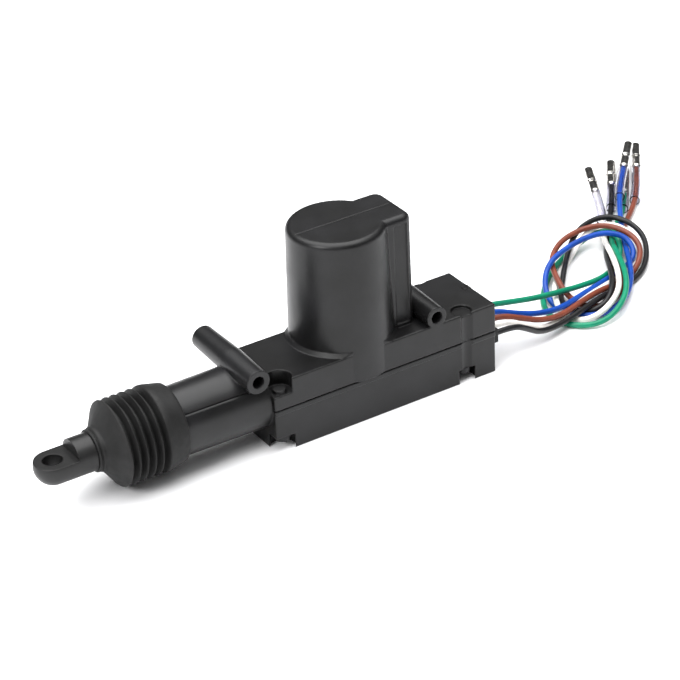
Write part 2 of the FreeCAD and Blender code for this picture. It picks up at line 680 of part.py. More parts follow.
def rack_rod():
    height = (S.bar_bottom, S.bar_top)
    reach = 2 * S.rod_radius
    plunger = drum("X", (S.eye_x, 0.0, S.rod_height), round_end - S.eye_x, S.rod_radius)
    nose = ball((S.eye_x, 0.0, S.rod_height), S.rod_radius)
    core = block((round_end - S.foot_length, foot_x + S.foot_length), (-S.core_side, S.core_side), height)
    foot = block((foot_x, foot_x + S.foot_length), (-S.bar_back, S.foot_side), height)
    bar = block((foot_x, bar_end), (-S.bar_back, -drive_pitch - S.rack_module * S.root_depth), height)
    above = block((S.eye_x - reach, S.tongue_root), (-reach, reach),
                  (S.rod_height + S.tongue_above, S.rod_height + reach))
    eye = drum("Z", (S.eye_x, 0.0, S.rod_height - reach), 2 * reach, S.eye_hole_radius)
    collar = cut(drum("X", (S.rod_groove_x, 0.0, S.rod_height), S.rod_groove_width, reach),
                 drum("X", (S.rod_groove_x - S.wall, 0.0, S.rod_height), S.rod_groove_width + 2 * S.wall,
                      S.rod_radius - S.rod_groove_depth))
    keep(cut(fuse(plunger, nose, core, foot, bar, rack_comb()), above, eye, collar), "rack_rod")


# Boot: a thin rubber bellows from the rod's groove to the tube's front
def boot():
    bell = S.boot_bell_radius
    crease = S.boot_groove_radius
    fold = (S.boot_collar_front - S.boot_bell_x) / S.boot_ridges
    lip_bore = S.rod_radius - S.rod_groove_depth + S.seat_gap
    lip_end = S.rod_groove_x + S.rod_groove_width - S.seat_gap
    grip = S.tube_radius + (S.boot_collar_rear - S.tube_front) * tube_slope + S.seat_gap
    ridge_half = S.boot_wall / 4
    outer = [
        (S.boot_front, lip_bore), (S.boot_front, S.boot_bead), (S.boot_front + S.boot_wall, S.boot_bead),
        (lip_end - S.boot_wall / 2, S.boot_throat), (lip_end, S.boot_throat + S.boot_wall),
        (S.boot_bell_x - 3 * S.boot_wall, bell - 4 * S.boot_wall),
        (S.boot_bell_x - S.boot_wall, bell - S.boot_wall / 2),
    ]
    inner = [
        (lip_end, lip_bore), (lip_end, S.boot_throat),
        (S.boot_bell_x - 2 * S.boot_wall, bell - 5 * S.boot_wall),
    ]
    for i in range(int(S.boot_ridges.value)):
        crest = S.boot_bell_x + i * fold
        outer += [(crest - ridge_half, bell), (crest + ridge_half, bell), (crest + fold / 2, crease)]
        inner += [(crest, bell - 1.5 * S.boot_wall), (crest + fold / 2, crease - S.boot_wall)]
    outer += [(S.boot_collar_front, S.boot_collar_radius), (S.boot_collar_rear, S.boot_collar_end)]
    inner += [(S.boot_collar_front + S.boot_wall, grip), (S.boot_collar_rear, grip)]
    keep(turned("X", (0.0, S.rod_height), outer + inner[::-1]), "boot")


# Stops: rubber blocks that the rod's foot and the end of its bar run against
def bumpers():
    pad = block((front_bumper_x, front_bumper_x + S.bumper), (-S.bumper_half, S.bumper_half),
                (S.bumper_low, S.bumper_high))
    hole = drum("X", (front_bumper_x - S.wall, 0.0, S.rod_height), S.bumper + 2 * S.wall, rod_clear)
    ledge_way = block((front_bumper_x - S.wall, front_bumper_x + S.bumper + S.wall),
                      (-half_width, -S.board_outer), (S.wall, S.bar_bottom))
    keep(cut(pad, hole, ledge_way), "front_bumper")
    rear = block((rear_bumper_x, rear_rib_x), (S.rear_stop_near, S.rear_stop_far),
                 (S.rear_stop_low, S.bar_top))
    keep(rear, "rear_bumper")


# Motor: can, end cap, bearings, magnets and brushes stand still, the rotor turns
def ring(name, inner, outer, low, high):
    """A plain ring about the motor's axis."""
    corners = [(inner, low), (outer, low), (outer, high), (inner, high)]
    keep(turned("Z", (S.tower_x, S.tower_y), corners), name)


def motor_case():
    floor = can_seat + S.can_wall
    hub_low = can_seat - S.hub_drop
    hub_floor = hub_low + S.can_wall / 2
    seat = S.bearing_radius + fit_gap
    way = S.shaft_radius + S.free_gap
    spigot_low = can_top - S.cap_spigot
    cap_floor = cap_top - S.can_wall / 2
    can = [
        (way, hub_low), (S.hub_radius, hub_low), (S.hub_radius, can_seat), (S.can_radius, can_seat),
        (S.can_radius, can_top), (can_bore, can_top), (can_bore, floor), (seat, floor),
        (seat, hub_floor), (way, hub_floor),
    ]
    cap = [
        (seat, spigot_low), (can_bore - fit_gap, spigot_low), (can_bore - fit_gap, can_top),
        (S.can_radius, can_top), (S.can_radius, cap_top), (way, cap_top), (way, cap_floor), (seat, cap_floor),
    ]
    keep(turned("Z", (S.tower_x, S.tower_y), can), "motor_can")
    keep(turned("Z", (S.tower_x, S.tower_y), cap), "motor_end_cap")
    running = S.shaft_radius + fit_gap
    ring("lower_bearing", running, S.bearing_radius, hub_floor, hub_floor + S.bearing_length)
    ring("upper_bearing", running, S.bearing_radius, spigot_low, cap_floor)


def motor_magnets():
    """Two curved magnets on the can's wall."""
    band = cylinder(can_bore - fit_gap, magnet_low, magnet_high)
    band = band.cut(cylinder(magnet_inner, magnet_low, magnet_high))
    gap = S.can_radius.value / 4
    reach = S.can_radius.value
    band = band.cut(box_between((-gap, gap), (-reach, reach), (magnet_low, magnet_high)))
    set_shape("motor_magnets", band, S.tower_x, S.tower_y)


def motor_brushes():
    """Two carbon brushes on arms that hang from the end cap."""
    solids = []
    half = S.brush_width.value / 2
    low = commutator_low.value + S.free_gap.value
    for side in sides:
        first = side * (S.commutator_radius.value + S.seat_gap.value)
        last = first + side * S.brush_length.value
        arm = last - side * half
        y_brush = sorted((first, last))
        y_arm = sorted((arm, last))
        high = low + S.brush_width.value * 1.5
        brush = box_between((-half, half), y_brush, (low, high))
        hanger = box_between((-half, half), y_arm, (high, can_top - S.cap_spigot))
        solids.append(brush.fuse(hanger).removeSplitter())
    set_shape("motor_brushes", Part.makeCompound(solids), S.tower_x, S.tower_y)


def motor_tabs():
    """Two solder tabs on top of the end cap, one above each motor lead."""
    tabs = [block((S.tab_x - S.tab_width / 2, S.tab_x), (wire_sides[name] - S.tab_width / 2,
                                                         wire_sides[name] + S.tab_width / 2),
                  (cap_top, cap_top + S.tab_height)) for name in ("blue", "green")]
    keep(group(tabs), "motor_tabs")


def around(shape, count):
    """Copies of a shape in even steps about the Z axis, fused where they meet."""
    copies = []
    for i in range(count):
        copy = shape.copy()
        copy.rotate(Vector(0, 0, 0), Vector(0, 0, 1), 360 * i / count)
        copies.append(copy)
    return copies


def rotor():
    """Shaft, three-pole core, its coils and the commutator."""
    shaft_low = wheel_bottom - S.seat_gap
    keep(drum("Z", (S.tower_x, S.tower_y, shaft_low), cap_top - S.can_wall / 4 - shaft_low, S.shaft_radius),
         "motor_shaft")
    bore = cylinder(S.shaft_radius + fit_gap, magnet_low - S.wall, cap_top)
    poles = 3
    half = S.pole_width.value / 2
    shoe_inner = core_radius - S.pole_shoe
    shoes = cylinder(core_radius, core_low, core_high).cut(cylinder(shoe_inner, core_low, core_high))
    slot = box_between((-core_radius - S.wall, -S.wall), (-half / 2, half / 2), (core_low, core_high))
    for piece in around(slot, poles):
        shoes = shoes.cut(piece)
    arm = box_between((0.0, shoe_inner + S.seat_gap), (-half, half), (core_low, core_high))
    core = cylinder(S.pole_width, core_low, core_high).multiFuse([shoes] + around(arm, poles))
    set_shape("armature_core", core.cut(bore).removeSplitter(), S.tower_x, S.tower_y)

    coil_outer = shoe_inner.value - S.seat_gap.value - half / 2
    side = S.winding_width.value
    coil = box_between((S.pole_width + S.seat_gap, coil_outer - S.seat_gap.value), (-side, side),
                       (core_low - S.winding_end + S.seat_gap, core_high + S.winding_end))
    hole = box_between((0.0, coil_outer + S.wall.value), (-half - fit_gap.value, half + fit_gap.value),
                       (core_low - fit_gap, core_high + fit_gap))
    coils = Part.makeCompound(around(coil.cut(hole), poles))
    set_shape("armature_windings", coils, S.tower_x, S.tower_y)

    bars = cylinder(S.commutator_radius, commutator_low, commutator_low + S.commutator_length).cut(bore)
    slit = box_between((S.commutator_radius - S.free_gap * 2, S.commutator_radius + S.wall),
                       (-S.seat_gap, S.seat_gap), (commutator_low, commutator_low + S.commutator_length))
    for piece in around(slit, poles):
        bars = bars.cut(piece)
    set_shape("commutator", bars, S.tower_x, S.tower_y)


# Position switch: board, tracks, and the wiper that rides under the rack bar
def position_switch():
    board = block((S.board_front, S.board_rear), (-S.board_outer, -S.board_inner), (board_bottom, S.board_top))
    keep(board, "contact_board")
    tracks = []
    for i in (-1, 0, 1):
        y = S.track_y + i * S.track_pitch
        tracks.append(block((S.board_front + S.wall, S.board_rear - S.wall / 2),
                            (y - S.track_width / 2, y + S.track_width / 2),
                            (S.board_top, S.board_top + S.track_thickness)))
    keep(group(tracks), "contact_tracks")

    foot_low = S.board_top + S.track_thickness + S.seat_gap
    lip = S.drive_bottom - S.free_gap
    arm_near = S.track_y - S.track_pitch - S.track_width / 2
    arm_far = S.track_y + S.track_pitch + S.track_width / 2
    step = 2 * S.wiper_leaf
    arm = moulded_across(arm_near, arm_far, [
        (S.wiper_x, lip), (S.wiper_x, lip - S.wiper_leaf),
        (S.wiper_x - S.wiper_length + step, foot_low), (S.wiper_x - S.wiper_length - step, foot_low),
        (S.wiper_x - S.wiper_length - step, foot_low + S.wiper_leaf),
        (S.wiper_x - S.wiper_length, foot_low + S.wiper_leaf), (S.wiper_x - 2 * step, lip),
    ])
    mount_far = -drive_pitch - S.rack_module * S.root_depth - S.seat_gap
    riser = block((S.wiper_x - step, S.wiper_x), (arm_near, mount_far), (lip - S.wiper_leaf, S.bar_bottom))
    plate = block((S.wiper_x - step, S.wiper_x + S.wiper_length), (-S.board_outer, mount_far),
                  (S.bar_bottom - S.wiper_leaf, S.bar_bottom))
    keep(fuse(arm, riser, plate), "switch_wiper")


# Cords and leads: straight runs joined by tangent arcs
def rounded_run(points, limit=None):
    """The path through a route's points, each arc as large as its two runs allow."""
    edges = []
    radii = []
    last = points[0]
    for before, corner, after in zip(points, points[1:], points[2:]):
        incoming = (before - corner).normalize()
        outgoing = (after - corner).normalize()
        half_turn = (math.pi - incoming.getAngle(outgoing)) / 2
        shorter = min((before - corner).Length, (after - corner).Length)
        radius = 0.45 * shorter / math.tan(half_turn)
        if limit:
            radius = limit
        reach = radius * math.tan(half_turn)
        inward = (incoming + outgoing).normalize()
        middle = corner + inward * (radius / math.cos(half_turn) - radius)
        edges.append(Part.LineSegment(last, corner + incoming * reach).toShape())
        last = corner + outgoing * reach
        edges.append(Part.Arc(corner + incoming * reach, middle, last).toShape())
        radii.append(radius)
    edges.append(Part.LineSegment(last, points[-1]).toShape())
    return Part.Wire(edges), radii


def tube(points, radius, limit=None):
    """A round tube along a route, its volume compared with its section times its length."""
    path, radii = rounded_run(points, limit)
    section = Part.Wire(Part.makeCircle(radius, points[0], points[1] - points[0]))
    shape = path.makePipeShell([section], True, False)
    wanted = math.pi * radius ** 2 * path.Length
    if abs(shape.Volume - wanted) > 0.002 * wanted:
        raise ValueError(f"tube volume {shape.Volume:.2f} is not {wanted:.2f}")
    return shape, radii, path.Length


def inner_leads():
    """The motor's two leads down the lobe, and the switch's three leads, to the comb."""
    radius = S.lead_radius.value
    bend = S.lead_bend.value
    tab_height = (cap_top + S.tab_height / 2).value
    wire_height = S.wire_height.value
    drop_x = (S.lobe_rear - S.wall - S.lead_radius - 2 * S.seat_gap).value
    run_height = (inner_top - S.lead_sink).value
    motor = []
    for name in ("blue", "green"):
        y = wire_sides[name].value
        corners = [
            (S.tab_x.value, tab_height), (drop_x, tab_height), (drop_x, run_height),
            (S.lead_turn_x.value, run_height), (S.lead_turn_x.value, wire_height),
            (comb_inner.value, wire_height),
        ]
        motor.append(tube([Vector(x, y, z) for x, z in corners], radius, bend)[0])
    set_shape("motor_leads", Part.makeCompound(motor))
    board_middle = (board_bottom + S.board_thickness / 2).value
    past_column = (S.screw_rear_x + S.column_radius).value
    switch = []
    for i, name in enumerate(("black", "white", "brown")):
        y = (S.track_y + (i - 1) * S.track_pitch).value
        route = [
            Vector(S.board_rear.value, y, board_middle), Vector(past_column, y, board_middle),
            Vector(comb_inner.value - bend, wire_sides[name].value, wire_height),
            Vector(comb_inner.value, wire_sides[name].value, wire_height),
        ]
        switch.append(tube(route, radius, radius)[0])
    set_shape("switch_leads", Part.makeCompound(switch))


# Wires: each leaves the comb straight, goes through the loose overhand knot behind the
# housing and ends in a bullet terminal; the heights keep the wires apart where they cross
WIRE_POINTS = {
    "green": [
        (107.5, 6.5, 10.5), (118.5, 7, 8), (130.5, 8, 6), (142, 10.5, 3.5), (153, 13.5, 1.5), (162, 17.5, 1.1),
        (168.5, 23, 2.5), (171.5, 28.5, 5.4), (170.5, 34.5, 5.8), (165, 37.5, 3.8), (156, 36, 1.2), (144, 30, 1.1),
        (133.5, 21, 1.1), (125.5, 11.5, 1.1), (122.5, 1.5, 1.1), (125.5, -6.5, 1.1), (132, -11, 1.5),
        (140, -10.5, 3), (149, -5, 5), (156.5, 5, 6.5), (163, 18, 6.1), (169.5, 30, 3.2), (178.5, 39.5, 2),
        (189, 47.5, 2), (197, 57.5, 2),
    ],
    "blue": [
        (106, 0.5, 9.5), (115.5, -0.5, 6.5), (126, 1, 4.5), (138, 5.5, 3.5), (151, 10.5, 2), (162, 14.3, 1.1),
        (171.2, 17.9, 2.2), (172.3, 24, 6.7), (166.7, 28.6, 8.7), (158, 29.5, 9), (148, 28, 8.5),
        (138, 24.5, 7.5), (131, 18, 4.5), (128, 10, 1.5), (128.5, 2, 1.1), (133.5, -4.5, 1.1), (141, -6.5, 1.5),
        (149.5, -4, 2.5), (157.5, 3, 4), (164.5, 13, 4.4), (171.5, 24, 3), (179, 36, 3.5), (187, 47.5, 5.4),
        (195.5, 58, 6), (204.5, 67.5, 6.3),
    ],
    "brown": [
        (105, -3.5, 10), (112.5, -5, 7), (121.5, -4.5, 5.5), (132.5, -1, 5.5), (144, 3, 4.5), (153.5, 6, 2),
        (161.5, 9, 1.2), (169, 13, 3), (174, 19, 5.5), (174, 27, 7.5), (169.5, 34, 8.5), (161.5, 37, 8),
        (151, 35.5, 7), (142, 29, 5.5), (137, 19, 4.5), (134.5, 9, 2.5), (136, 2, 1.1), (141.5, -2, 1.1),
        (147.5, -2, 2.5), (153, 2.5, 4), (157.5, 10, 4.5), (162.5, 19, 3.9), (168.5, 27.5, 1.5), (177, 34.5, 1.1),
        (186, 42, 1.2), (196, 50, 2), (205, 60, 2), (213.5, 71, 2),
    ],
    "white": [
        (105, -6.5, 8.5), (112, -6, 4.5), (119.5, -4, 3.2), (128.5, -1, 4), (139, 3.5, 3.5), (150.5, 8, 2),
        (162.5, 12, 1.1), (172, 16, 1.1), (177, 23, 2.5), (177, 30, 5.5), (172.8, 35.5, 7.4), (165.5, 37.2, 6.7),
        (158, 34.5, 3.5), (150, 30, 1.1), (141, 24, 1.1), (133.5, 15.5, 2.5), (128, 7, 4), (126, 1.5, 2),
        (128, -3.5, 1.1), (132.5, -7, 1.5), (140, -7, 4), (148, -2.5, 6), (155, 7.5, 6.7), (161.5, 19.5, 5.8),
        (168, 32, 3.4), (176, 43.5, 2), (183, 53.5, 2), (189, 64, 2),
    ],
    "black": [
        (104, -9.5, 9), (110, -8.5, 5), (119.5, -6.5, 3.5), (131, -3.5, 4), (142.5, 0.5, 3.5), (152.5, 3.5, 1.6),
        (161, 6, 1.1), (169, 10.5, 1.2), (176, 17.5, 2.5), (181, 26, 4), (181.5, 34.5, 5.5), (177.5, 41, 6.5),
        (170, 42.5, 6.5), (160.5, 39, 6), (151, 31, 4.5), (142, 21.5, 2.5), (135, 13.5, 1.1), (131, 7, 1.1),
        (132, 1, 1.1), (136, -3, 1.5), (142, -3.5, 3.5), (149, 2.5, 5.5), (156, 13, 4.5), (163.7, 25.5, 2),
        (172.5, 36, 1.1), (181, 45.5, 1.7), (189, 54.5, 2), (197, 65, 2),
    ],
}


def last_stretch(path, length, beyond):
    """The end of a path, measured back from its end, and run on straight past it."""
    edges = []
    for edge in reversed(path.Edges):
        first = edge.FirstParameter
        if edge.Length > length:
            first = edge.getParameterByLength(edge.Length - length)
            edge = edge.Curve.toShape(first, edge.LastParameter)
        edges.insert(0, edge)
        length -= edge.Length
        if length < 0.001:
            break
    end = edges[-1].valueAt(edges[-1].LastParameter)
    onward = edges[-1].tangentAt(edges[-1].LastParameter)
    edges.append(Part.LineSegment(end, end + onward * beyond).toShape())
    return Part.Wire(edges)


def swept(path, radius):
    """A solid round bar along a path."""
    first = path.Edges[0]
    start = first.valueAt(first.FirstParameter)
    heading = first.tangentAt(first.FirstParameter)
    return path.makePipeShell([Part.Wire(Part.makeCircle(radius, start, heading))], True, False)


def wires():
    """The five wires, each with its terminal and the clear sleeve over the joint."""
    radius = S.wire_radius.value
    for name, points in WIRE_POINTS.items():
        side = wire_sides[name].value
        start = Vector(comb_rear.value, side, S.wire_height.value)
        route = [start, start + Vector(S.wire_straight.value, 0, 0)] + [Vector(*point) for point in points]
        shape, radii, length = tube(route, radius)
        set_shape(f"wire_{name}", shape)
        print(f"wire_{name}: length {length:.1f}, radii {[round(r, 1) for r in radii]}")

        path = rounded_run(route)[0]
        sleeve_path = last_stretch(path, getattr(S, f"sleeve_{name}").value, S.sleeve_cover.value)
        outside = swept(sleeve_path, S.sleeve_radius.value)
        inside = swept(sleeve_path, (S.sleeve_radius - S.sleeve_wall).value)
        set_shape(f"sleeve_{name}", outside.cut(inside))

        neck_start = S.barrel_length + S.terminal_bevel
        neck_end = neck_start + S.neck_length
        pin = turned("X", (0.0, 0.0), [
            (0.0, 0.0), (0.0, S.crimp_radius), (S.crimp_length, S.crimp_radius),
            (S.crimp_length + S.terminal_bevel, S.bullet_radius),
            (S.barrel_length, S.bullet_radius), (neck_start, S.neck_radius),
            (neck_end, S.neck_radius), (neck_end + S.terminal_bevel, S.bullet_radius),
            (S.terminal_length - 2 * S.terminal_bevel, S.bullet_radius),
            (S.terminal_length, S.bullet_radius - S.terminal_bevel), (S.terminal_length, 0.0),
        ])
        end = route[-1]
        heading = Rotation(Vector(1, 0, 0), end - route[-2])
        keep(place(pin, end.x, end.y, end.z, heading), f"terminal_{name}")


upper_housing()
lower_cover()
housing_screws()
wire_comb()
gears()
rack_rod()
boot()
bumpers()
motor_case()
motor_magnets()
motor_brushes()
motor_tabs()
rotor()
position_switch()
inner_leads()
wires()
doc.recompute()

# Every object must be sound before anything is written
for item in doc.Objects:
    if "Invalid" in item.State or "Error" in item.State:
        raise ValueError(f"{item.Name} ({item.Label}) is not sound: {item.State}")
for name, item in parts.items():
    if item.Shape.isNull() or not item.Shape.isValid():
        raise ValueError(f"{name} has no valid shape")
os.makedirs("parts", exist_ok=True)
for name, item in parts.items():
    item.Shape.exportStep(f"parts/{name}.step")
    box = item.Shape.BoundBox
    print(f"{name}: {len(item.Shape.Solids)} solids, volume {item.Shape.Volume:.1f}, "
          f"x {box.XMin:.2f} {box.XMax:.2f}, y {box.YMin:.2f} {box.YMax:.2f}, z {box.ZMin:.2f} {box.ZMax:.2f}")
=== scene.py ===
import math

import bpy
from mathutils import Euler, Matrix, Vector


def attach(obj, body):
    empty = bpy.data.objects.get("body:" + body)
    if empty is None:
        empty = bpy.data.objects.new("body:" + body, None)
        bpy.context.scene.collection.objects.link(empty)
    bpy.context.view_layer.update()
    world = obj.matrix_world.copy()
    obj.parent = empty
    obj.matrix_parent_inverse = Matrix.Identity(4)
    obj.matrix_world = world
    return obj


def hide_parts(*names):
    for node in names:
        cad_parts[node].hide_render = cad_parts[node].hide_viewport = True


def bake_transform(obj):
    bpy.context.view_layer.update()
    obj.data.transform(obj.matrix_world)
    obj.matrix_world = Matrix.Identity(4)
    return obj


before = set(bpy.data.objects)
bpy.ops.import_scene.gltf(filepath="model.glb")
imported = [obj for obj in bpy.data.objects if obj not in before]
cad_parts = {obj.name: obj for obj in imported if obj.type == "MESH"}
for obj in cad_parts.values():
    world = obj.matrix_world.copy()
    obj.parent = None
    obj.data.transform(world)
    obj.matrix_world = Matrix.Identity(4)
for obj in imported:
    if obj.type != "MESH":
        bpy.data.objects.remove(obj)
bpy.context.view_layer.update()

# Stage: the actuator lies on a pale sheet under a wide soft light from straight above, with a
# weaker one from the front left. The room is bright overhead and dim towards the horizon, which
# gives black plastic its contrast, and a long lens looks down from the front left as well.
scene = bpy.context.scene
scene.view_settings.view_transform = "Standard"

FLOOR_HALF = 12.0
FLOOR_DROP = 0.0001
FLOOR_CORNERS = ((-1, -1), (1, -1), (1, 1), (-1, 1))
floor_mesh = bpy.data.meshes.new("floor")
floor_mesh.from_pydata([(x * FLOOR_HALF, y * FLOOR_HALF, -FLOOR_DROP) for x, y in FLOOR_CORNERS],
                       [], [(0, 1, 2, 3)])
floor = bpy.data.objects.new("floor", floor_mesh)
scene.collection.objects.link(floor)
paper = bpy.data.materials.new("paper")
paper.use_nodes = True
paper_shader = paper.node_tree.nodes["Principled BSDF"]
paper_shader.inputs["Base Color"].default_value = (0.93, 0.93, 0.94, 1.0)
paper_shader.inputs["Roughness"].default_value = 0.9
paper_shader.inputs["Specular IOR Level"].default_value = 0.1
floor_mesh.materials.append(paper)

DIM_BELOW = 0.5
BRIGHT_ABOVE = 0.9
ROOM_DIM = 0.08
ROOM_BRIGHT = 1.5
room = bpy.data.worlds.new("room")
room.use_nodes = True
walls = room.node_tree
heading = walls.nodes.new("ShaderNodeTexCoord").outputs["Generated"]
split = walls.nodes.new("ShaderNodeSeparateXYZ")
dim_low = walls.nodes.new("ShaderNodeMapRange")
dim_low.inputs["From Min"].default_value = DIM_BELOW
dim_low.inputs["From Max"].default_value = BRIGHT_ABOVE
dim_low.inputs["To Min"].default_value = ROOM_DIM
dim_low.inputs["To Max"].default_value = ROOM_BRIGHT
walls.links.new(heading, split.inputs["Vector"])
walls.links.new(split.outputs["Z"], dim_low.inputs["Value"])
walls.links.new(dim_low.outputs["Result"], walls.nodes["Background"].inputs["Strength"])
walls.nodes["Background"].inputs["Color"].default_value = (1.0, 1.0, 1.0, 1.0)
scene.world = room


def soft_light(name, place, aim, size, power):
    """A square studio light that faces a point."""
    lamp = bpy.data.lights.new(name, "AREA")
    lamp.size = size
    lamp.energy = power
    holder = bpy.data.objects.new(name, lamp)
    holder.location = place
    holder.rotation_euler = (Vector(aim) - Vector(place)).to_track_quat("-Z", "Y").to_euler()
    scene.collection.objects.link(holder)


soft_light("overhead", place=(0.05, 0.15, 1.2), aim=(0.03, 0.0, 0.03), size=1.5, power=27.0)
soft_light("left", place=(-0.9, -0.3, 0.75), aim=(0.0, 0.0, 0.03), size=0.4, power=8.0)

camera = bpy.data.cameras.new("camera")
camera.sensor_width = 36.0
camera.lens = 127.1
viewer = bpy.data.objects.new("camera", camera)
viewer.location = (-0.30874, -0.56711, 0.41039)
viewer.rotation_euler = Euler([math.radians(a) for a in (59.459, 2.610, -32.384)])
scene.collection.objects.link(viewer)
scene.camera = viewer

# Wires: five stranded copper wires in soft PVC, one colour each. They leave the rubber comb
# in the rear wall together, and a loose overhand knot in all five takes the strain off it.
DATUM_X = -9.815
DATUM_Y = -3.65


def at(x, y, z):
    """A point of the frame, given in millimetres from the front mounting hole and the base."""
    return Vector((x + DATUM_X, y + DATUM_Y, z)) / 1000


def new_finish(name, roughness, metal=0.0):
    """An empty material with its shader, and the piece's own coordinates for its patterns."""
    material = bpy.data.materials.new(name)
    material.use_nodes = True
    tree = material.node_tree
    shader = tree.nodes["Principled BSDF"]
    shader.inputs["Roughness"].default_value = roughness
    shader.inputs["Metallic"].default_value = metal
    where = tree.nodes.new("ShaderNodeTexCoord").outputs["Object"]
    return material, tree, shader, where


def grain(tree, where, per_metre, detail=4.0):
    """A noise pattern with so many features in a metre."""
    pattern = tree.nodes.new("ShaderNodeTexNoise")
    pattern.inputs["Scale"].default_value = per_metre
    pattern.inputs["Detail"].default_value = detail
    tree.links.new(where, pattern.inputs["Vector"])
    return pattern.outputs["Fac"]


DARK_UNDER = 0.35
LIGHT_OVER = 0.65


def shade(tree, shader, pattern, dark, light):
    """Colour that wanders between two tones with a pattern."""
    ramp = tree.nodes.new("ShaderNodeValToRGB")
    ramp.color_ramp.elements[0].position = DARK_UNDER
    ramp.color_ramp.elements[0].color = (*dark, 1.0)
    ramp.color_ramp.elements[1].position = LIGHT_OVER
    ramp.color_ramp.elements[1].color = (*light, 1.0)
    tree.links.new(pattern, ramp.inputs["Fac"])
    tree.links.new(ramp.outputs["Color"], shader.inputs["Base Color"])


def polish(tree, shader, pattern, low, high):
    """Roughness that wanders between two values with a pattern."""
    spread = tree.nodes.new("ShaderNodeMapRange")
    spread.inputs["To Min"].default_value = low
    spread.inputs["To Max"].default_value = high
    tree.links.new(pattern, spread.inputs["Value"])
    tree.links.new(spread.outputs["Result"], shader.inputs["Roughness"])


EDGE_SAMPLES = 6


def relief(tree, shader, pattern, strength, depth, edge=0.0):
    """Small bumps from a pattern, over edges that are softened by a radius in metres."""
    bump = tree.nodes.new("ShaderNodeBump")
    bump.inputs["Strength"].default_value = strength
    bump.inputs["Distance"].default_value = depth
    tree.links.new(pattern, bump.inputs["Height"])
    if edge:
        soft_edge = tree.nodes.new("ShaderNodeBevel")
        soft_edge.samples = EDGE_SAMPLES
        soft_edge.inputs["Radius"].default_value = edge
        tree.links.new(soft_edge.outputs["Normal"], bump.inputs["Normal"])
    tree.links.new(bump.outputs["Normal"], shader.inputs["Normal"])


def tones(colour, spread):
    """A darker and a lighter tone of one colour."""
    return [tuple(min(1.0, c * k) for c in colour) for k in (1 - spread, 1 + spread)]


def pvc(name, colour):
    """Soft glossy insulation, with a faint haze and the slight waviness of the extrusion."""
    material, tree, shader, where = new_finish(name, roughness=0.35)
    shade(tree, shader, grain(tree, where, 260.0), *tones(colour, spread=0.12))
    polish(tree, shader, grain(tree, where, 900.0), low=0.28, high=0.48)
    relief(tree, shader, grain(tree, where, 700.0, detail=2.0), strength=0.25, depth=0.00012)
    shader.inputs["Specular IOR Level"].default_value = 0.35
    return material


WIRE_HEIGHT = 12.5
WIRE_START = 90.7
WIRE_STRAIGHT = 98.0
WIRE_DIAMETER = 0.002
ROUND_STEPS = 5
BEND_STEPS = 10
